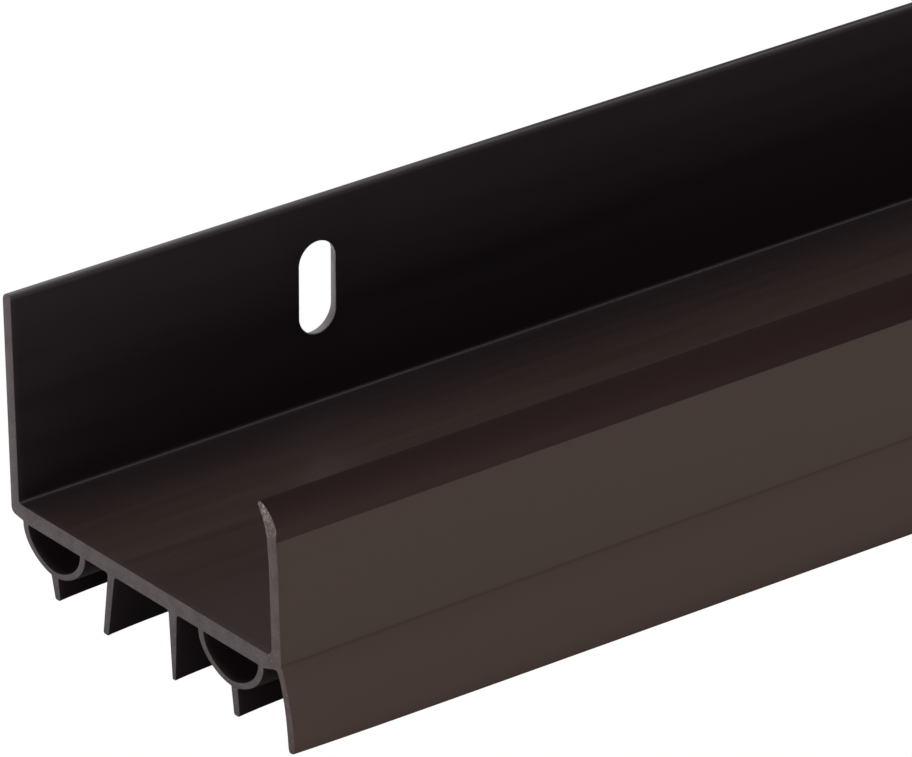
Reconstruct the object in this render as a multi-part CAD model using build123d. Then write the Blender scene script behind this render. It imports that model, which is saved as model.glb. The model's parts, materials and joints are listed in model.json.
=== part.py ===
"""Door sweep: a U-shaped vinyl channel that slips over the bottom edge of a 1-3/4 in door.

The rigid channel is screwed to the door's inside face through slots in its tall leg. Soft strips
run along it: a lip that closes on the door's outside face, a drip skirt below it, and under the
web two bulb seals and four wiping fins that close the gap over the threshold.

+X runs along the sweep, +Y points to the tall leg (the room side) and +Z points up.
The origin is on the door seat, the web's upper face, at mid-width and mid-length.
Every section is drawn as (y, z) and run along X. Each soft strip hangs from a round bead at its
root, which is centred on the line that the strip bends about.
"""
import os
from math import radians, tan

from build123d import *

os.makedirs("parts", exist_ok=True)

# Sweep and door
LENGTH = 914.4
DOOR_THICKNESS = 44.45
DOOR_PLAY = 1.25
SEAT_HALF_WIDTH = (DOOR_THICKNESS + DOOR_PLAY) / 2

# Rigid channel
WALL = 1.52
WEB_THICKNESS = 2.0
WEB_UNDERSIDE = -WEB_THICKNESS
TALL_LEG_HEIGHT = 24.5
TALL_LEG_TOP_INNER_RADIUS = 0.3
TALL_LEG_TOP_OUTER_RADIUS = 0.95
TALL_FOOT_Z = -1.5
TALL_FOOT_RADIUS = 0.8
TALL_FOOT_LIFT = 0.15
TALL_INNER_CORNER_RADIUS = 0.45
FRONT_INNER_CORNER_RADIUS = 0.9
FRONT_LEG_LEAN = 1.8
FRONT_LEG_TOP = 12.4
WEB_FOOT = (-21.4, WEB_UNDERSIDE)
WEB_FOOT_EDGE = (-23.0, -1.5)
WEB_FOOT_LIFT = -1.2
BEAD_CLEARANCE = 0.05

# Screw slots in the tall leg
SLOT_COUNT = 4
SLOT_WIDTH = 5.0
SLOT_HEIGHT = 11.0
SLOT_CENTRE_Z = 13.8
SLOT_TO_END = 40.5
SLOT_SPACING = (LENGTH - 2 * SLOT_TO_END) / (SLOT_COUNT - 1)

# Lip on top of the front leg
LIP_BEAD_RADIUS = 0.75
LIP_HINGE_Z = FRONT_LEG_TOP + 0.3
LIP_HINGE_Y = -SEAT_HALF_WIDTH + LIP_HINGE_Z * tan(radians(FRONT_LEG_LEAN)) - WALL / 2
LIP_REACH = 2.4
LIP_RISE = 4.62

# Drip skirt under the front leg
SKIRT_HINGE_Y = -24.08
SKIRT_HINGE_Z = -1.1
SKIRT_BEAD_RADIUS = 0.6
SKIRT_THICKNESS = 1.05
SKIRT_TIP_Y = -25.93
SKIRT_BOTTOM = -11.4
SKIRT_NOTCH_TOP = -0.6

# Bulb seals, each with a wiper under it
INNER_BULB_Y = 16.44
OUTER_BULB_Y = -15.5
BULB_HALF_WIDTH = 5.77
BULB_DEPTH = 4.45
BULB_SIDE_WALL = 1.0
BULB_BOTTOM_WALL = 0.72
WIPER_BEAD_RADIUS = 0.52
WIPER_HINGE_Z = WEB_UNDERSIDE - BULB_DEPTH - WIPER_BEAD_RADIUS - BEAD_CLEARANCE
WIPER_NECK = 1.0
WIPER_TIP = 0.9

# Fins under the web
INNER_FIN_Y = 5.95
OUTER_FIN_Y = -5.17
FIN_BEAD_RADIUS = 0.75
INNER_FIN_NECK = 1.15
OUTER_FIN_NECK = 1.2
TIP_RADIUS_SHARE = 0.3


def along_sweep(section):
    """A (y, z) section run the whole length, half each way from mid-length."""
    return extrude(Plane.YZ * section, LENGTH / 2, both=True)


def corner_rounded(section, corner, radius):
    """The section with the vertex nearest to the corner rounded."""
    target = Vector(*corner)
    vertex = min(section.vertices(), key=lambda v: (Vector(v) - target).length)
    return fillet(vertex, radius)


def bead_groove(y, z, bead_radius):
    """The round groove that a strip's root bead sits in."""
    return Pos(y, z) * Circle(bead_radius + BEAD_CLEARANCE)


def screw_slots():
    """One upright slot at each fixing place along the tall leg."""
    slot = SlotOverall(SLOT_HEIGHT, SLOT_WIDTH, rotation=90)
    first = -LENGTH / 2 + SLOT_TO_END
    plane = Plane((0, SEAT_HALF_WIDTH + WALL / 2, SLOT_CENTRE_Z), x_dir=(1, 0, 0), z_dir=(0, -1, 0))
    places = [Pos(first + i * SLOT_SPACING, 0) for i in range(SLOT_COUNT)]
    return [extrude(plane * place * slot, WALL, both=True) for place in places]


def channel():
    """Tall leg, web and leaning front leg in one rigid section, with the screw slots cut."""
    tall_inner = SEAT_HALF_WIDTH
    tall_outer = SEAT_HALF_WIDTH + WALL
    front_inner = -SEAT_HALF_WIDTH
    front_outer = -SEAT_HALF_WIDTH - WALL
    lean = FRONT_LEG_TOP * tan(radians(FRONT_LEG_LEAN))
    foot_step = INNER_BULB_Y + BULB_HALF_WIDTH
    outline = Polyline(
        (tall_inner, 0),
        (tall_inner, TALL_LEG_HEIGHT),
        (tall_outer, TALL_LEG_HEIGHT),
        (tall_outer, TALL_FOOT_Z),
        (foot_step, WEB_UNDERSIDE + TALL_FOOT_LIFT),
        (foot_step, WEB_UNDERSIDE),
        WEB_FOOT,
        WEB_FOOT_EDGE,
        (SKIRT_HINGE_Y + SKIRT_BEAD_RADIUS, WEB_FOOT_LIFT),
        (SKIRT_HINGE_Y, WEB_FOOT_LIFT),
        (SKIRT_HINGE_Y, SKIRT_NOTCH_TOP),
        (front_outer, SKIRT_NOTCH_TOP),
        (front_outer + lean, FRONT_LEG_TOP),
        (front_inner + lean, FRONT_LEG_TOP),
        (front_inner, 0),
        close=True,
    )
    section = make_face(outline)
    section = corner_rounded(section, (tall_inner, TALL_LEG_HEIGHT), TALL_LEG_TOP_INNER_RADIUS)
    section = corner_rounded(section, (tall_outer, TALL_LEG_HEIGHT), TALL_LEG_TOP_OUTER_RADIUS)
    section = corner_rounded(section, (tall_outer, TALL_FOOT_Z), TALL_FOOT_RADIUS)
    section = corner_rounded(section, (tall_inner, 0), TALL_INNER_CORNER_RADIUS)
    section = corner_rounded(section, (front_inner, 0), FRONT_INNER_CORNER_RADIUS)
    section -= bead_groove(LIP_HINGE_Y, LIP_HINGE_Z, LIP_BEAD_RADIUS)
    section -= bead_groove(SKIRT_HINGE_Y, SKIRT_HINGE_Z, SKIRT_BEAD_RADIUS)
    for fin_y in (INNER_FIN_Y, OUTER_FIN_Y):
        section -= bead_groove(fin_y, WEB_UNDERSIDE, FIN_BEAD_RADIUS)
    return along_sweep(section) - screw_slots()


def front_lip():
    """The soft lip: up from the front leg, then curled in over the door's outside face."""
    y = LIP_HINGE_Y
    z = LIP_HINGE_Z
    radius = LIP_BEAD_RADIUS
    tip_outer = (y + LIP_REACH - 0.6, z + LIP_RISE - 0.03)
    tip_inner = (y + LIP_REACH, z + LIP_RISE - 0.5)
    outer = Spline((y - radius, z), (y - 0.93, z + 1.7), (y - 0.1, z + 3.5), tip_outer)
    tip = ThreePointArc(tip_outer, (y + LIP_REACH - 0.1, z + LIP_RISE - 0.08), tip_inner)
    inner = Spline(tip_inner, (y + 1.4, z + 2.6), (y + 0.87, z + 1.2), (y + radius, z))
    root = Line(inner @ 1, outer @ 0)
    return along_sweep(make_face([outer, tip, inner, root]) + Pos(y, z) * Circle(radius))


def drip_skirt():
    """The soft skirt: out and down from the foot of the front leg in one long curve."""
    y = SKIRT_HINGE_Y
    z = SKIRT_HINGE_Z
    half = SKIRT_THICKNESS / 2
    tip_level = SKIRT_BOTTOM + half
    outer = ThreePointArc((y - half, z), (y - 1.83, -5.0), (SKIRT_TIP_Y - half, tip_level))
    tip = ThreePointArc(outer @ 1, (SKIRT_TIP_Y, SKIRT_BOTTOM), (SKIRT_TIP_Y + half, tip_level))
    inner = ThreePointArc(tip @ 1, (y - 0.76, -5.1), (y + half, z))
    root = Line(inner @ 1, outer @ 0)
    return along_sweep(make_face([outer, tip, inner, root]) + Pos(y, z) * Circle(SKIRT_BEAD_RADIUS))


def bulb_seal(y):
    """A half-round soft tube under the web, open at both ends, with its feet on the web."""
    outer = Ellipse(BULB_HALF_WIDTH, BULB_DEPTH)
    inner = Ellipse(BULB_HALF_WIDTH - BULB_SIDE_WALL, BULB_DEPTH - BULB_BOTTOM_WALL)
    below = Pos(0, -BULB_DEPTH / 2) * Rectangle(2 * BULB_HALF_WIDTH, BULB_DEPTH)
    return along_sweep(Pos(y, WEB_UNDERSIDE) * ((outer - inner) & below))


def hanging_fin(root, tip, bead_radius, neck, tip_thickness):
    """A tapered fin from a round bead at its root to a rounded tip; root and tip are (y, z)."""
    start = Vector(*root)
    end = Vector(*tip)
    side = Vector(-(end - start).Y, (end - start).X).normalized()
    outline = Polyline(
        start + side * (neck / 2),
        end + side * (tip_thickness / 2),
        end - side * (tip_thickness / 2),
        start - side * (neck / 2),
        close=True,
    )
    blade = make_face(outline)
    for corner in (end + side * (tip_thickness / 2), end - side * (tip_thickness / 2)):
        blade = corner_rounded(blade, corner, tip_thickness * TIP_RADIUS_SHARE)
    return along_sweep(blade + Pos(start.X, start.Y) * Circle(bead_radius))


def inner_fin():
    return hanging_fin((INNER_FIN_Y, WEB_UNDERSIDE), (7.15, -9.6), FIN_BEAD_RADIUS, INNER_FIN_NECK, 1.0)


def outer_fin():
    return hanging_fin((OUTER_FIN_Y, WEB_UNDERSIDE), (-5.15, -10.0), FIN_BEAD_RADIUS, OUTER_FIN_NECK, 0.6)


def inner_bulb_wiper():
    root = (INNER_BULB_Y, WIPER_HINGE_Z)
    return hanging_fin(root, (16.02, -9.05), WIPER_BEAD_RADIUS, WIPER_NECK, WIPER_TIP)


def outer_bulb_wiper():
    root = (OUTER_BULB_Y - 0.5, WIPER_HINGE_Z)
    return hanging_fin(root, (-16.33, -9.6), WIPER_BEAD_RADIUS, WIPER_NECK, WIPER_TIP)


PARTS = {
    "channel": channel(),
    "front_lip": front_lip(),
    "drip_skirt": drip_skirt(),
    "inner_bulb": bulb_seal(INNER_BULB_Y),
    "inner_bulb_wiper": inner_bulb_wiper(),
    "inner_fin": inner_fin(),
    "outer_fin": outer_fin(),
    "outer_bulb": bulb_seal(OUTER_BULB_Y),
    "outer_bulb_wiper": outer_bulb_wiper(),
}

for node, shape in PARTS.items():
    export_step(shape, f"parts/{node}.step")
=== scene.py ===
"""Door sweep, seen from one cut end: a rigid vinyl channel with soft lip, skirt, bulbs and fins.

Lengths are millimetres until a mesh is made. +X runs along the sweep, +Y points to the tall leg
and +Z up. Every piece is one section, drawn as (y, z) points, swept along X between cut ends.
"""
import json
import math

import bmesh
import bpy
from mathutils import Matrix, Vector


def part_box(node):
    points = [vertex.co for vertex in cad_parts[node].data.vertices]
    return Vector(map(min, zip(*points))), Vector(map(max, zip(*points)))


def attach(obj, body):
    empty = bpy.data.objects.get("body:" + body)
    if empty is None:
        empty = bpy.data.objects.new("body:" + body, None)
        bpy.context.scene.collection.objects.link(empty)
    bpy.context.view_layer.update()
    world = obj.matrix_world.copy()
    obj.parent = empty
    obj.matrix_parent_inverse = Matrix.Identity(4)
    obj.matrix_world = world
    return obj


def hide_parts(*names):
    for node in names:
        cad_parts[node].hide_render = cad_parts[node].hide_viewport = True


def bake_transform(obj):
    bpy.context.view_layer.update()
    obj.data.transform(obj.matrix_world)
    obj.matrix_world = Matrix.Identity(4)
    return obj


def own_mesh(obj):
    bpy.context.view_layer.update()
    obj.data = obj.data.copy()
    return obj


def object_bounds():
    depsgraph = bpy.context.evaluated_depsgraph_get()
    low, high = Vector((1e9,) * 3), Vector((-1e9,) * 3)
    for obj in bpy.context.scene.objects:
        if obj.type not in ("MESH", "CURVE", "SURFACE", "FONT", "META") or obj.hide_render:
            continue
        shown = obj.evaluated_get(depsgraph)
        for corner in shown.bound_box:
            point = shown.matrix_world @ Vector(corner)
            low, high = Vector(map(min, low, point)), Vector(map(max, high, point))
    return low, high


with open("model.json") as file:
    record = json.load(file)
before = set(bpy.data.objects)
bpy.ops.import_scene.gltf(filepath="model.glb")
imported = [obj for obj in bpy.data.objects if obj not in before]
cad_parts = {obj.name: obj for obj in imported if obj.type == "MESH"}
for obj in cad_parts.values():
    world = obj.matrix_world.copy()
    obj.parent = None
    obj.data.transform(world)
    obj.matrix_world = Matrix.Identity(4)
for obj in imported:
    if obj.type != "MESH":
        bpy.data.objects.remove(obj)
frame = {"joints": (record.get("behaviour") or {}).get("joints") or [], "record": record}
cad_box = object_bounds()

MM = 0.001
SHARP_ABOVE = math.radians(35.0)


# ---------------------------------------------------------------- sizes from the frame
def box_mm(node):
    low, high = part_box(node)
    return low / MM, high / MM


CHANNEL_LOW, CHANNEL_HIGH = box_mm("channel")
END = CHANNEL_HIGH.x
HINGES = {j["name"]: j for j in frame["joints"]}
OPENINGS = {o["name"]: o["box_m"] for o in frame["record"]["physics"]["openings"]}


def hinge_yz(joint):
    """(y, z) of a hinge's axis."""
    _, y, z = HINGES[joint]["pos_m"]
    return y / MM, z / MM


# channel section
WALL = 1.52
WEB_UNDERSIDE = CHANNEL_LOW.z
TALL_OUTER = CHANNEL_HIGH.y
TALL_INNER = TALL_OUTER - WALL
TALL_TOP = CHANNEL_HIGH.z + 0.02
TALL_LEAN = 0.13
TALL_TOP_ROUND = 0.95
TALL_TOP_INNER_ROUND = 0.3
TALL_FOOT_Z = -1.52
TALL_FOOT_RAMP_Z = -1.85
TALL_CREASE_ROUND = 0.5
SEAT_HALF_WIDTH = TALL_INNER
FRONT_OUTER = -SEAT_HALF_WIDTH - WALL
FRONT_WALL_EXTRA = 0.12
FRONT_CREASE_ROUND = 0.9
FRONT_LEG_LEAN = 0.18
FRONT_LEG_BEND_Z = 10.5
FRONT_LEG_BEND_ROUND = 15.0
LIP_JOINT_Z = 13.5
LIP_JOINT_OUTER = -23.96
LIP_JOINT_INNER = -22.3
SKIRT_JOINT_OUTER = (-24.37, -0.55)
SKIRT_JOINT_INNER = (-23.5, -1.38)
WEB_FOOT = (-21.4, WEB_UNDERSIDE)
WEB_FOOT_EDGE = (-22.95, -1.5)
SLOT_RADIUS = 2.5
SLOT_HEIGHT = 11.0
SLOT_EDGE_ROUND = 0.05
SLOT_BREAKOUT = 0.45
SLOT_TILT = 0.02

# soft parts; a foot is (y, width) and a tip is (y, z, width)
INNER_BULB_Y = 16.44
OUTER_BULB_Y = -15.5
BULB_HALF_WIDTH = 5.77
BULB_DEPTH = 4.45
BULB_SIDE_WALL = 1.0
BULB_BOTTOM_WALL = 0.72
BULB_FULLNESS = 1.2
INNER_FIN_FOOT = (5.95, 1.75)
INNER_FIN_TIP = (7.22, -9.6, 1.0)
OUTER_FIN_FOOT = (-5.2, 2.0)
OUTER_FIN_TIP = (-5.15, -10.0, 0.62)
INNER_WIPER_FOOT = (16.54, 1.8)
INNER_WIPER_TIP = (16.09, -9.07, 1.0)
OUTER_WIPER_FOOT = (-15.98, 1.7)
OUTER_WIPER_TIP = (-16.31, -9.7, 1.04)
WIPER_SUNK = 0.25
SKIRT_CUT_BOTTOM = -10.1
CUT_ROUND = 0.06
HIDDEN_INSET = 0.02


def feet_on_web():
    """(high y, low y) of every place where a soft part stands on the web's underside."""
    feet = [(y + width / 2, y - width / 2) for y, width in (INNER_FIN_FOOT, OUTER_FIN_FOOT)]
    for centre in (INNER_BULB_Y, OUTER_BULB_Y):
        feet.append((centre + BULB_HALF_WIDTH, centre + BULB_HALF_WIDTH - BULB_SIDE_WALL))
        feet.append((centre - BULB_HALF_WIDTH + BULB_SIDE_WALL, centre - BULB_HALF_WIDTH))
    return sorted(feet, reverse=True)


# Where two pieces of the one section meet, as (y, z) pairs. Their cut ends stay level there.
JOINS = [((high, WEB_UNDERSIDE), (low, WEB_UNDERSIDE)) for high, low in feet_on_web()]
JOINS.append(((LIP_JOINT_OUTER, LIP_JOINT_Z), (LIP_JOINT_INNER, LIP_JOINT_Z)))
JOINS.append((SKIRT_JOINT_OUTER, SKIRT_JOINT_INNER))


# ---------------------------------------------------------------- section drawing
def rounded(corners, step=9.0):
    """A closed outline through (y, z, radius) corners, each rounded by its own radius."""
    points = []
    for i, (y, z, radius) in enumerate(corners):
        corner = Vector((y, z))
        if radius == 0:
            points.append(corner)
            continue
        before = (Vector(corners[i - 1][:2]) - corner).normalized()
        after = (Vector(corners[(i + 1) % len(corners)][:2]) - corner).normalized()
        half = before.angle(after) / 2
        centre = corner + (before + after).normalized() * (radius / math.sin(half))
        first = corner + before * (radius / math.tan(half)) - centre
        last = corner + after * (radius / math.tan(half)) - centre
        turn = math.atan2(first.x * last.y - first.y * last.x, first.dot(last))
        steps = max(2, round(abs(math.degrees(turn)) / step))
        for k in range(steps + 1):
            points.append(centre + Matrix.Rotation(turn * k / steps, 2) @ first)
    return points


def smooth_line(points, per_span=6):
    """A smooth line through all the points (Catmull-Rom)."""
    knots = [Vector(p) for p in points]
    knots = [2 * knots[0] - knots[1]] + knots + [2 * knots[-1] - knots[-2]]
    line = []
    for a, b, c, d in zip(knots, knots[1:], knots[2:], knots[3:]):
        for k in range(per_span):
            t = k / per_span
            line.append(0.5 * (2 * b + (c - a) * t + (2 * a - 5 * b + 4 * c - d) * t**2
                               + (3 * b - 3 * c + d - a) * t**3))
    return line + [knots[-2]]


def with_points_every(outline, longest):
    """The closed outline with its long straight stretches divided, so that it can bend."""
    dense = []
    for a, b in zip(outline, outline[1:] + outline[:1]):
        pieces = max(1, math.ceil((b - a).length / longest))
        dense += [a.lerp(b, k / pieces) for k in range(pieces)]
    return dense


def in_join(a, b):
    """Whether the side from a to b lies on one of the joins."""
    middle = (a + b) / 2
    for first, last in JOINS:
        first, last = Vector(first), Vector(last)
        if abs((middle - first).length + (middle - last).length - (last - first).length) < 1e-4:
            return True
    return False


def inset(outline, distance):
    """The outline drawn in by a small distance, but for its sides that lie on a join."""
    count = len(outline)
    area = sum(a.x * b.y - b.x * a.y for a, b in zip(outline, outline[1:] + outline[:1]))
    side = math.copysign(distance, area)
    moved = []
    for i, p in enumerate(outline):
        before, after = outline[i - 1], outline[(i + 1) % count]
        joined = (in_join(before, p), in_join(p, after))
        if all(joined):
            moved.append(p.copy())
        elif any(joined):
            moved.append(p + ((before if joined[0] else after) - p).normalized() * distance)
        else:
            along = (after - before).normalized()
            moved.append(p + Vector((-along.y, along.x)) * side)
    return moved


def stations(end):
    """Places along X, from one cut end to the other, closer together near the ends."""
    from_end = (80.0, 70.0, 60.0, 50.0, 42.0, 34.0, 27.0, 20.0, 15.0, 11.0, 8.5, 6.5, 5.0, 3.7, 2.6, 1.6, 0.8)
    half = [40.0 * k for k in range(8)] + [310.0, 340.0, 365.0] + [end - d for d in from_end]
    return [-x for x in reversed(half[1:])] + half


def swept(name, outline, end, skins, cut, skin_at=None, bend=None):
    """A piece with this section from -end to +end.

    skin_at(y, z) says which of the skins the outline wears there, and bend(x, y, z) may shape the
    piece along its length. The cut ends wear the last material.
    """
    rings = [(x, outline) for x in stations(end)]
    edge = [(end - CUT_ROUND, outline), (end - CUT_ROUND * 0.3, inset(outline, CUT_ROUND * 0.3)),
            (end, inset(outline, CUT_ROUND))]
    rings = [(-x, ring) for x, ring in reversed(edge)] + rings + edge
    mesh = bmesh.new()
    loops = []
    for x, ring in rings:
        placed = [bend(x, *p) if bend else (x, p.x, p.y) for p in ring]
        loops.append([mesh.verts.new(Vector(p) * MM) for p in placed])
    count = len(outline)
    wears = [skin_at(*((outline[i] + outline[(i + 1) % count]) / 2)) if skin_at else 0
             for i in range(count)]
    for near, far in zip(loops, loops[1:]):
        for i in range(count):
            k = (i + 1) % count
            face = mesh.faces.new((near[i], near[k], far[k], far[i]))
            face.material_index = wears[i]
    for cap in (loops[0], loops[-1]):
        face = mesh.faces.new(cap)
        face.material_index = len(skins)
    bmesh.ops.recalc_face_normals(mesh, faces=mesh.faces)
    return finished(name, mesh, [*skins, cut])


def finished(name, mesh, materials):
    """The piece made from a bmesh, smooth but for its sharp edges."""
    data = bpy.data.meshes.new(name)
    mesh.to_mesh(data)
    mesh.free()
    for material in materials:
        data.materials.append(material)
    data.polygons.foreach_set("use_smooth", [True] * len(data.polygons))
    data.set_sharp_from_angle(angle=SHARP_ABOVE)
    piece = bpy.data.objects.new(name, data)
    bpy.context.scene.collection.objects.link(piece)
    return piece


# ---------------------------------------------------------------- materials
class Nodes:
    """Short calls for building a node tree."""

    def __init__(self, tree):
        self.tree = tree
        tree.nodes.clear()

    def add(self, kind, inputs=None, **settings):
        node = self.tree.nodes.new(kind)
        for key, value in settings.items():
            setattr(node, key, value)
        for key, value in (inputs or {}).items():
            if isinstance(value, bpy.types.NodeSocket):
                self.tree.links.new(value, node.inputs[key])
            else:
                node.inputs[key].default_value = value
        return node

    def noise(self, coords, scale, detail=2.0, rough=0.5):
        """Noise between 0 and 1; scale is features per millimetre along X, Y and Z."""
        placed = self.add("ShaderNodeMapping", {"Vector": coords, "Scale": [s / MM for s in scale]})
        node = self.add("ShaderNodeTexNoise", {"Vector": placed.outputs[0], "Scale": 1.0,
                                               "Detail": detail, "Roughness": rough})
        return node.outputs["Fac"]

    def ranged(self, value, low, high, to_low, to_high):
        node = self.add("ShaderNodeMapRange", {"Value": value, "From Min": low, "From Max": high,
                                               "To Min": to_low, "To Max": to_high})
        return node.outputs[0]

    def blend(self, amount, first, second):
        node = self.add("ShaderNodeMix", {0: amount, 6: first, 7: second}, data_type="RGBA")
        return node.outputs[2]

    def math(self, operation, first, second):
        return self.add("ShaderNodeMath", {0: first, 1: second}, operation=operation).outputs[0]


def as_input(colour):
    """A plain colour with its alpha, or a node's output as it is."""
    return colour if isinstance(colour, bpy.types.NodeSocket) else (*colour, 1.0)


def with_turns(nodes, place, colour, turns):
    """The colour, with others coming in along X, Y or Z.

    Each turn is (axis, start, stop, share, colour): that share of its colour has come in when the
    coordinate, in millimetres, reaches stop; X is counted from mid-length either way.
    """
    for axis, start, stop, share, turned in turns:
        along = place.outputs[axis]
        if axis == "X":
            along = nodes.math("ABSOLUTE", along, 0.0)
        amount = nodes.ranged(along, start * MM, stop * MM, 0.0, share)
        colour = nodes.blend(amount, as_input(colour), (*turned, 1.0))
    return colour


def vinyl(name, colour, roughness, specular, turns=(), streak=0.12, seam=None):
    """Extruded vinyl: faint die lines along X, soft streaks and a fine orange-peel skin.

    A seam is the z of a shallow dark line.
    """
    material = bpy.data.materials.new(name)
    material.use_nodes = True
    nodes = Nodes(material.node_tree)
    coords = nodes.add("ShaderNodeTexCoord").outputs["Object"]
    lines = nodes.noise(coords, (0.003, 1.4, 1.4), 3.0)
    streaks = nodes.noise(coords, (0.02, 0.45, 0.45), 4.0, 0.6)
    mottle = nodes.noise(coords, (0.35, 0.5, 0.5), 3.0, 0.6)
    peel = nodes.noise(coords, (2.2, 3.0, 3.0), 2.0)
    place = nodes.add("ShaderNodeSeparateXYZ", {0: coords})
    colour = with_turns(nodes, place, colour, turns)
    tone = nodes.math("ADD", nodes.math("MULTIPLY", streaks, 0.65), nodes.math("MULTIPLY", mottle, 0.35))
    tone = nodes.ranged(tone, 0.35, 0.65, 1.0 - streak, 1.0 + streak)
    if seam is not None:
        off = nodes.math("ABSOLUTE", nodes.math("SUBTRACT", place.outputs["Z"], seam * MM), 0.0)
        shade = nodes.add("ShaderNodeMapRange", {
            "Value": off, "From Min": SEAM_HALF_WIDTH * MM, "From Max": SEAM_REACH * MM,
            "To Min": SEAM_SHADE, "To Max": 1.0}, interpolation_type="SMOOTHSTEP")
        tone = nodes.math("MULTIPLY", tone, shade.outputs[0])
    toned = nodes.add("ShaderNodeVectorMath", {0: colour, "Scale": tone}, operation="SCALE")
    height = nodes.math("ADD", nodes.math("MULTIPLY", lines, 0.6), nodes.math("MULTIPLY", peel, 0.3))
    bump = nodes.add("ShaderNodeBump", {"Height": height})
    bump.inputs["Strength"].default_value = 0.3
    bump.inputs["Distance"].default_value = 0.02 * MM
    shader = nodes.add("ShaderNodeBsdfPrincipled", {
        "Base Color": toned.outputs[0], "Normal": bump.outputs[0],
        "Roughness": nodes.ranged(streaks, 0.3, 0.7, roughness - 0.05, roughness + 0.05)})
    shader.inputs["Specular IOR Level"].default_value = specular
    nodes.add("ShaderNodeOutputMaterial", {"Surface": shader.outputs[0]})
    return material


def cut_vinyl(name, body, fleck, fleck_share, roughness=0.6, specular=0.08, turns=(), grows=None):
    """A sawn face: matt, paler than the skin, with fine pale flecks and faint saw marks.

    The flecks come in between the two heights of grows, if it is given.
    """
    material = bpy.data.materials.new(name)
    material.use_nodes = True
    nodes = Nodes(material.node_tree)
    coords = nodes.add("ShaderNodeTexCoord").outputs["Object"]
    grain = nodes.noise(coords, (3.0, 3.2, 3.2), 3.0, 0.7)
    cloud = nodes.noise(coords, (0.5, 0.6, 0.6), 2.0)
    saw = nodes.noise(coords, (0.5, 0.25, 4.0), 2.0)
    tone = nodes.ranged(cloud, 0.35, 0.65, 0.9, 1.1)
    place = nodes.add("ShaderNodeSeparateXYZ", {0: coords})
    body = with_turns(nodes, place, body, turns)
    ground = nodes.add("ShaderNodeVectorMath", {0: body, "Scale": tone}, operation="SCALE")
    flecks = nodes.ranged(grain, 0.72 - fleck_share, 0.8 - 0.75 * fleck_share, 0.0, 1.0)
    if grows:
        grown = nodes.ranged(place.outputs["Z"], grows[0] * MM, grows[1] * MM, 0.1, 1.0)
        flecks = nodes.math("MULTIPLY", flecks, grown)
    colour = nodes.blend(flecks, ground.outputs[0], (*fleck, 1.0))
    bump = nodes.add("ShaderNodeBump", {"Height": nodes.math("ADD", grain, saw)})
    bump.inputs["Strength"].default_value = 0.4
    bump.inputs["Distance"].default_value = 0.02 * MM
    shader = nodes.add("ShaderNodeBsdfPrincipled", {"Base Color": colour, "Normal": bump.outputs[0]})
    shader.inputs["Roughness"].default_value = roughness
    shader.inputs["Specular IOR Level"].default_value = specular
    nodes.add("ShaderNodeOutputMaterial", {"Surface": shader.outputs[0]})
    return material


# The show faces are a paler brown than the inside of the channel, which is darker.
SHOW_BROWN = (0.0675, 0.0456, 0.0383)
SKIRT_BROWN = (0.0655, 0.0418, 0.0347)
SKIRT_LOW_BROWN = (0.077, 0.0505, 0.0415)
SEAT_BROWN = (0.024, 0.0123, 0.0105)
FRONT_CORNER_BROWN = (0.0205, 0.0088, 0.0072)
# Painted shade: the seat darkens towards the tall leg's crease, and the tall leg's inner face is this dark
# low down.
CREASE_PAINTED_SHADE = (0.015, 0.0093, 0.0105)
# Higher up the walls the inside is lighter; the darker colour low on the tall leg's inner face is painted
# shade.
TALL_DARK = (0.0192, 0.0135, 0.015)
# Painted highlight: a paler band just under the tall leg's top inner edge.
SHOULDER_PAINTED_HIGHLIGHT = (0.045, 0.035, 0.0375)
LIP_BROWN = (0.0405, 0.0248, 0.0225)
# Painted shade: the lip darkens away from the cut ends.
LIP_FAR_PAINTED_SHADE = (0.0238, 0.0125, 0.0115)
# Painted shade: the lip darkens towards its curled tip, which faces up and forward.
LIP_TIP_PAINTED_SHADE = (0.0158, 0.0078, 0.008)
SOFT_DARK = (0.018, 0.0105, 0.0118)
CUT_MAUVE = (0.1045, 0.085, 0.086)
CUT_GREY = (0.1135, 0.095, 0.096)
CUT_BROWN = (0.1045, 0.079, 0.0775)
# Top of the tall leg: a rubbed, paler edge that also carries a painted highlight, brightest near the cut
# ends.
RUBBED_PALE_AND_HIGHLIGHT = (0.145, 0.127, 0.13)
# The top edge's colour towards mid-length, where the painted highlight has faded out.
EDGE_MIDDLE_BROWN = (0.031, 0.023, 0.0245)
SEAM_HALF_WIDTH = 0.06
SEAM_REACH = 0.36
SEAM_SHADE = 0.88

SHOW = vinyl("show_vinyl", SHOW_BROWN, 0.48, 0.09, streak=0.02, seam=SKIRT_JOINT_OUTER[1])
# Inside of the channel: painted shade darkens it towards the tall leg's crease and low on the tall leg's
# inner face.
INSIDE = vinyl("inside_vinyl", SEAT_BROWN, 0.45, 0.24,
               [("Y", 2.0, -12.0, 1.0, FRONT_CORNER_BROWN), ("Y", 12.0, 22.0, 1.0, CREASE_PAINTED_SHADE),
                ("Z", 2.0, 9.0, 1.0, TALL_DARK),
                ("Z", TALL_TOP - 0.65, TALL_TOP - 0.42, 1.0, SHOULDER_PAINTED_HIGHLIGHT)], streak=0.1)
# Painted highlight along the tall leg's top, partly a rubbed edge; it fades from the cut ends towards
# mid-length, as painted light falling off from the lamps.
EDGE = vinyl("rubbed_edge_painted_highlight", RUBBED_PALE_AND_HIGHLIGHT, 0.5, 0.12, [("X", END - 8.0, END - 75.0, 1.0, EDGE_MIDDLE_BROWN)],
             streak=0.2)
SKIRT = vinyl("skirt_vinyl", SKIRT_BROWN, 0.55, 0.15, [("Z", -6.5, -10.5, 1.0, SKIRT_LOW_BROWN)],
              streak=0.03, seam=SKIRT_JOINT_OUTER[1])
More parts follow.
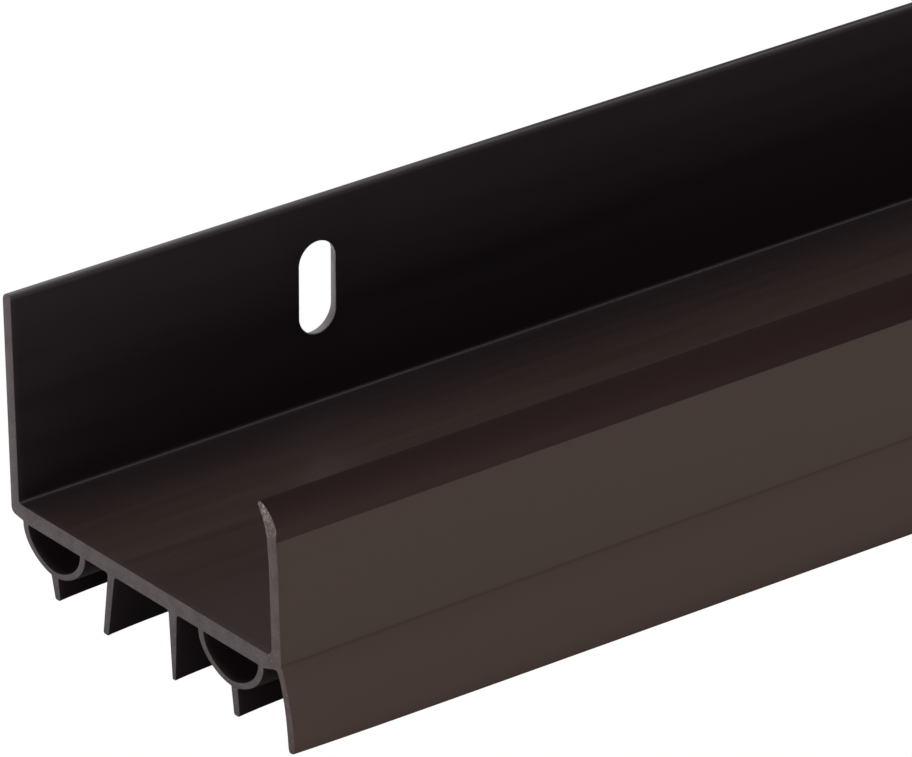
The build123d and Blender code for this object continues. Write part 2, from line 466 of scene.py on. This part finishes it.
# The lip: painted shade darkens it away from the cut ends and towards its tip.
LIP = vinyl("lip_vinyl", LIP_BROWN, 0.6, 0.03,
            [("X", END - 5.0, END - 90.0, 1.0, LIP_FAR_PAINTED_SHADE), ("Z", 14.9, 17.2, 1.0, LIP_TIP_PAINTED_SHADE)],
            streak=0.05)
SOFT = vinyl("soft_vinyl", SOFT_DARK, 0.5, 0.16, streak=0.08)
CUT = cut_vinyl("cut_vinyl", CUT_MAUVE, (0.148, 0.129, 0.132), 0.16,
                turns=[("Y", 21.0, 24.0, 1.0, CUT_GREY), ("Y", -21.5, -23.0, 1.0, CUT_BROWN)])
LIP_CUT = cut_vinyl("cut_lip", CUT_BROWN, (0.36, 0.3, 0.285), 0.24, grows=(13.3, 17.0))
# The slot wall is about twice as pale as the cut faces: partly the pale punched face, partly painted light.
SLOT_WALL = cut_vinyl("slot_wall_painted_light", (0.195, 0.174, 0.181), (0.25, 0.23, 0.235), 0.05, 0.4, 0.3)


# ---------------------------------------------------------------- channel
def channel_outline():
    bend_outer = FRONT_OUTER + FRONT_LEG_LEAN
    underside = []
    for high, low in feet_on_web()[1:]:
        underside += [(y, WEB_UNDERSIDE, 0.0) for y in (high + CUT_ROUND, high, low, low - CUT_ROUND)]
    first_high, first_low = feet_on_web()[0]
    return rounded([
        (TALL_INNER + TALL_LEAN, TALL_TOP, TALL_TOP_INNER_ROUND),
        (TALL_INNER, 0.0, TALL_CREASE_ROUND),
        (-SEAT_HALF_WIDTH + FRONT_WALL_EXTRA, 0.0, FRONT_CREASE_ROUND),
        (bend_outer + WALL + FRONT_WALL_EXTRA, FRONT_LEG_BEND_Z, FRONT_LEG_BEND_ROUND),
        (LIP_JOINT_INNER, LIP_JOINT_Z, 0.0),
        (LIP_JOINT_OUTER, LIP_JOINT_Z, 0.0),
        (bend_outer, FRONT_LEG_BEND_Z, FRONT_LEG_BEND_ROUND),
        (FRONT_OUTER, 0.0, 2.0),
        (SKIRT_JOINT_OUTER[0] - 0.03, SKIRT_JOINT_OUTER[1] + 0.2, 0.3),
        (*SKIRT_JOINT_OUTER, 0.0),
        (*SKIRT_JOINT_INNER, 0.0),
        (*WEB_FOOT_EDGE, 0.3),
        (*WEB_FOOT, 0.05),
        *reversed(underside),
        (first_low - CUT_ROUND, WEB_UNDERSIDE, 0.0),
        (first_low, WEB_UNDERSIDE, 0.0),
        (first_high, WEB_UNDERSIDE, 0.0),
        (first_high, TALL_FOOT_RAMP_Z, 0.06),
        (TALL_OUTER, TALL_FOOT_Z, 0.8),
        (TALL_OUTER + TALL_LEAN, TALL_TOP, TALL_TOP_ROUND),
    ])


CHANNEL_SKINS = [INSIDE, SHOW, EDGE]
SLOT_WALL_INDEX = len(CHANNEL_SKINS) + 1


def channel_skin(y, z):
    """Which of the channel's skins it wears at a point of its outline."""
    if z > TALL_TOP - 0.3 and y > TALL_INNER + TALL_LEAN + TALL_TOP_INNER_ROUND - 0.01:
        return CHANNEL_SKINS.index(EDGE)
    if y > TALL_OUTER - 0.05 or y < FRONT_OUTER + WALL / 2:
        return CHANNEL_SKINS.index(SHOW)
    return CHANNEL_SKINS.index(INSIDE)


def slot_cutter(x, z):
    """An upright slot punched through the tall leg from the door side, with rounded edges.

    It widens a little towards the room side, where the punch broke out.
    """
    middle = (TALL_INNER + TALL_OUTER) / 2 + TALL_LEAN * z / TALL_TOP
    half = WALL / 2
    clear = 2.0
    flare = [(-clear, clear - half + SLOT_EDGE_ROUND)]
    for k in range(4):
        turn = math.pi / 2 * k / 3
        flare.append((-half + SLOT_EDGE_ROUND * (1 - math.cos(turn)), SLOT_EDGE_ROUND * (1 - math.sin(turn))))
    rings = flare + [(-y, grow + SLOT_BREAKOUT) for y, grow in reversed(flare)]
    straight = SLOT_HEIGHT / 2 - SLOT_RADIUS
    mesh = bmesh.new()
    loops = []
    for y, grow in rings:
        loop = []
        for k in range(48):
            turn = math.tau * k / 48
            lift = straight if math.sin(turn) > 0 else -straight
            radius = SLOT_RADIUS + grow
            up = lift + radius * math.sin(turn)
            point = (x + radius * math.cos(turn) + SLOT_TILT * up, middle + y, z + up)
            loop.append(mesh.verts.new(Vector(point) * MM))
        loops.append(loop)
    for near, far in zip(loops, loops[1:]):
        for i in range(48):
            k = (i + 1) % 48
            mesh.faces.new((near[i], near[k], far[k], far[i]))
    mesh.faces.new(loops[0])
    mesh.faces.new(loops[-1])
    for face in mesh.faces:
        face.material_index = SLOT_WALL_INDEX
    bmesh.ops.recalc_face_normals(mesh, faces=mesh.faces)
    return mesh


def cut_slots(piece):
    """The screw slots cut through the tall leg at the frame's slot openings."""
    cutters = bmesh.new()
    for name, (low, high) in OPENINGS.items():
        if name.startswith("screw_slot"):
            x = (low[0] + high[0]) / 2 / MM
            z = (low[2] + high[2]) / 2 / MM
            one = slot_cutter(x, z)
            part = bpy.data.meshes.new("one_slot")
            one.to_mesh(part)
            one.free()
            cutters.from_mesh(part)
            bpy.data.meshes.remove(part)
    tool = finished("slot_cutters", cutters, [SLOT_WALL] * (SLOT_WALL_INDEX + 1))
    piece.data.materials.append(SLOT_WALL)
    cut = piece.modifiers.new("slots", "BOOLEAN")
    cut.operation = "DIFFERENCE"
    cut.solver = "EXACT"
    cut.material_mode = "INDEX"
    cut.object = tool
    evaluated = piece.evaluated_get(bpy.context.evaluated_depsgraph_get())
    data = bpy.data.meshes.new_from_object(evaluated)
    piece.modifiers.clear()
    piece.data = data
    bpy.data.objects.remove(tool)
    data.set_sharp_from_angle(angle=SHARP_ABOVE)


def make_channel():
    piece = swept("channel_body", channel_outline(), END, CHANNEL_SKINS, CUT, channel_skin)
    cut_slots(piece)
    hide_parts("channel")
    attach(piece, "channel")


# ---------------------------------------------------------------- soft strips
def settle(node):
    """The piece takes the place of its CAD node, which is hidden."""
    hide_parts(node)


def fin_rise(from_end):
    """How much higher a fin's tip is than at the cut ends, where it has sagged."""
    return 0.4 * (1 - math.exp(-from_end / 5.0))


def make_fin(node, name, foot, tip, root_z, end=END):
    """A tapered fin that hangs from root_z; it bends between there and its reach below."""
    root_y, foot_width = foot
    tip_y, tip_z, tip_width = tip
    flare = 0.25
    neck = foot_width / 2 - flare
    outline = rounded([
        (root_y + foot_width / 2, root_z, 0.0),
        (root_y + neck, root_z - flare, 0.3),
        (tip_y + tip_width / 2, tip_z, tip_width * 0.25),
        (tip_y - tip_width / 2, tip_z, tip_width * 0.35),
        (root_y - neck, root_z - flare, 0.3),
        (root_y - foot_width / 2, root_z, 0.0),
    ])

    def hang(x, y, z):
        share = max(0.0, (root_z - z) / (root_z - tip_z))
        return (x, y, z + fin_rise(end - abs(x)) * share**2)

    piece = swept(name, with_points_every(outline, 0.3), end, [SOFT], CUT, bend=hang)
    settle(node)
    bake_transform(piece)


def make_bulb(node, name, centre_y):
    """A half-round soft tube with its feet on the web, a little flattened."""
    outer = []
    inner = []
    for k in range(33):
        turn = math.pi * k / 32
        across = math.copysign(abs(math.cos(turn)) ** BULB_FULLNESS, math.cos(turn))
        down = math.sin(turn)
        outer.append(Vector((centre_y + BULB_HALF_WIDTH * across, WEB_UNDERSIDE - BULB_DEPTH * down)))
        inner.append(Vector((centre_y - (BULB_HALF_WIDTH - BULB_SIDE_WALL) * across,
                             WEB_UNDERSIDE - (BULB_DEPTH - BULB_BOTTOM_WALL) * down)))
    piece = swept(name, outer + inner, END, [SOFT], CUT)
    settle(node)
    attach(piece, "channel")
    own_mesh(piece)


def make_lip():
    """The soft lip on the front leg: thick at its root, curled in to a thin edge."""
    y, z = hinge_yz("front_lip_flex")
    outer = smooth_line([(LIP_JOINT_OUTER, LIP_JOINT_Z), (y - 0.83, z + 1.4), (y - 0.84, z + 2.15),
                         (y - 0.6, z + 2.87), (y - 0.08, z + 3.53), (y + 0.65, z + 4.16),
                         (y + 1.35, z + 4.54), (y + 1.92, z + 4.68)])
    inner = smooth_line([(y + 2.32, z + 4.15), (y + 1.86, z + 3.38), (y + 1.43, z + 2.6),
                         (y + 1.15, z + 1.78), (LIP_JOINT_INNER, LIP_JOINT_Z)])
    tip = [Vector((y + 2.25, z + 4.55))]
    piece = swept("front_lip_strip", outer + tip + inner, END, [LIP], LIP_CUT)
    settle("front_lip")
    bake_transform(piece)


def skirt_bottom(from_end):
    """How low the skirt hangs: it is drawn up at the cut ends."""
    return SKIRT_CUT_BOTTOM - 0.2 * (1 - math.exp(-from_end / 8.0)) - 0.0121 * min(from_end, 92.0)


def make_skirt():
    """The flared drip skirt: one long curve, drawn up a little towards the cut ends."""
    outer = smooth_line([SKIRT_JOINT_OUTER, (-24.48, -0.72), (-24.72, -1.3), (-25.2, -2.6),
                         (-25.95, -5.4), (-26.35, -8.0), (-26.42, -9.7)])
    inner = smooth_line([(-25.3, -9.7), (-25.18, -8.2), (-24.92, -6.0), (-24.52, -4.0),
                         (-24.05, -2.4), (-23.78, -1.78), SKIRT_JOINT_INNER])
    tip = [Vector(p) for p in ((-26.35, -9.95), (-26.1, -10.12), (-25.65, -10.2), (-25.42, -10.08))]

    def hang(x, y, z):
        share = max(0.0, z / SKIRT_CUT_BOTTOM)
        return (x, y, z + (skirt_bottom(END - abs(x)) - SKIRT_CUT_BOTTOM) * share**2)

    piece = swept("drip_skirt_strip", outer + tip + inner, END, [SKIRT], CUT, bend=hang)
    settle("drip_skirt")
    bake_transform(piece)


def make_soft_strips():
    make_fin("inner_fin", "inner_fin_strip", INNER_FIN_FOOT, INNER_FIN_TIP, WEB_UNDERSIDE)
    make_fin("outer_fin", "outer_fin_strip", OUTER_FIN_FOOT, OUTER_FIN_TIP, WEB_UNDERSIDE)
    make_bulb("inner_bulb", "inner_bulb_tube", INNER_BULB_Y)
    make_bulb("outer_bulb", "outer_bulb_tube", OUTER_BULB_Y)
    wiper_root = WEB_UNDERSIDE - BULB_DEPTH + WIPER_SUNK
    make_fin("inner_bulb_wiper", "inner_wiper_strip", INNER_WIPER_FOOT, INNER_WIPER_TIP, wiper_root,
             END - HIDDEN_INSET)
    make_fin("outer_bulb_wiper", "outer_wiper_strip", OUTER_WIPER_FOOT, OUTER_WIPER_TIP, wiper_root,
             END - HIDDEN_INSET)
    make_lip()
    make_skirt()


# ---------------------------------------------------------------- stage, light and camera
FLOOR_Z = cad_box[0].z - 0.2 * MM


def plain_material(name, colour, emission):
    material = bpy.data.materials.new(name)
    material.use_nodes = True
    nodes = Nodes(material.node_tree)
    shader = nodes.add("ShaderNodeBsdfPrincipled")
    shader.inputs["Base Color"].default_value = (*colour, 1)
    shader.inputs["Roughness"].default_value = 0.9
    shader.inputs["Specular IOR Level"].default_value = 0.1
    shader.inputs["Emission Color"].default_value = (1, 1, 1, 1)
    shader.inputs["Emission Strength"].default_value = emission
    nodes.add("ShaderNodeOutputMaterial", {"Surface": shader.outputs[0]})
    return material


def make_stage():
    """A pale floor that lights the sweep from below, and the plain white that the camera sees."""
    reach = 6.0
    data = bpy.data.meshes.new("floor")
    corners = [(-reach, -reach, FLOOR_Z), (reach, -reach, FLOOR_Z), (reach, reach, FLOOR_Z),
               (-reach, reach, FLOOR_Z)]
    data.from_pydata(corners, [], [(0, 1, 2, 3)])
    data.materials.append(plain_material("light_table", (0.8, 0.8, 0.8), 0.2))
    floor = bpy.data.objects.new("floor", data)
    floor.visible_camera = False

    data = bpy.data.meshes.new("card")
    half_x = (END + 4.0) * MM
    half_y = 30.0 * MM
    z = FLOOR_Z + 0.1 * MM
    data.from_pydata([(-half_x, -half_y, z), (half_x, -half_y, z), (half_x, half_y, z),
                      (-half_x, half_y, z)], [], [(0, 1, 2, 3)])
    data.materials.append(plain_material("pale_card", (0.6, 0.6, 0.6), 0.0))
    card = bpy.data.objects.new("card", data)
    card.visible_camera = False

    dome = bmesh.new()
    bmesh.ops.create_uvsphere(dome, u_segments=48, v_segments=24, radius=60.0)
    data = bpy.data.meshes.new("backdrop")
    dome.to_mesh(data)
    dome.free()
    data.materials.append(plain_material("white_backdrop", (0, 0, 0), 1.0))
    backdrop = bpy.data.objects.new("backdrop", data)
    for rays in ("diffuse", "glossy", "transmission", "volume_scatter", "shadow"):
        setattr(backdrop, "visible_" + rays, False)
    for piece in (floor, card, backdrop):
        bpy.context.scene.collection.objects.link(piece)


# name: place and aim in metres, width and height in metres, radiance
LIGHTS = {
    "overhead": ((0.0, 0.0, 1.2), (0.0, 0.0, 0.0), (1.6, 1.6), 2.2),
    "back": ((-0.2, 1.5, 0.8), (-0.2, 0.0, 0.0), (2.0, 1.0), 1.0),
    "left": ((-2.0, 0.0, 0.8), (-0.4, 0.0, 0.0), (1.5, 1.0), 2.7),
    "right": ((2.0, 0.0, 0.8), (-0.2, 0.0, 0.0), (1.5, 1.0), 1.0),
    "low_front": ((-0.2, -1.5, 0.12), (-0.2, 0.0, 0.0), (3.0, 0.24), 2.2),
}


def make_lights():
    """Soft boxes round the sweep."""
    for name, (place, aim, (width, height), radiance) in LIGHTS.items():
        data = bpy.data.lights.new(name, "AREA")
        data.shape = "RECTANGLE"
        data.size = width
        data.size_y = height
        data.energy = radiance * math.pi * width * height
        light = bpy.data.objects.new(name, data)
        light.location = place
        light.rotation_euler = (Vector(aim) - Vector(place)).to_track_quat("-Z", "Y").to_euler()
        light.visible_camera = False
        bpy.context.scene.collection.objects.link(light)


def make_world():
    """A dim grey room."""
    world = bpy.data.worlds.new("room")
    bpy.context.scene.world = world
    world.use_nodes = True
    nodes = Nodes(world.node_tree)
    background = nodes.add("ShaderNodeBackground")
    background.inputs["Color"].default_value = (1, 1, 1, 1)
    background.inputs["Strength"].default_value = 0.01
    nodes.add("ShaderNodeOutputWorld", {"Surface": background.outputs[0]})


def make_camera():
    """Looks down at the near end from its left, a little rolled."""
    azimuth = math.radians(-37.597)
    elevation = math.radians(25.472)
    roll = math.radians(-0.609)
    back = Vector((math.sin(azimuth) * math.cos(elevation), -math.cos(azimuth) * math.cos(elevation),
                   math.sin(elevation)))
    right = Vector((math.cos(azimuth), math.sin(azimuth), 0))
    up = back.cross(right)
    rolled_right = right * math.cos(roll) + up * math.sin(roll)
    rolled_up = up * math.cos(roll) - right * math.sin(roll)
    data = bpy.data.cameras.new("camera")
    data.sensor_width = 36.0
    data.lens = 294.4
    data.clip_start = 0.01
    data.clip_end = 200.0
    camera = bpy.data.objects.new("camera", data)
    turned = Matrix((rolled_right, rolled_up, back)).transposed().to_4x4()
    place = Vector((-END - 401.075, -575.365, 356.61)) - (rolled_right * 0.054 - rolled_up * 0.054)
    camera.matrix_world = Matrix.Translation(place * MM) @ turned
    bpy.context.scene.collection.objects.link(camera)
    bpy.context.scene.camera = camera


make_channel()
make_soft_strips()
make_stage()
make_lights()
make_world()
make_camera()
bpy.context.scene.view_settings.view_transform = "Standard"
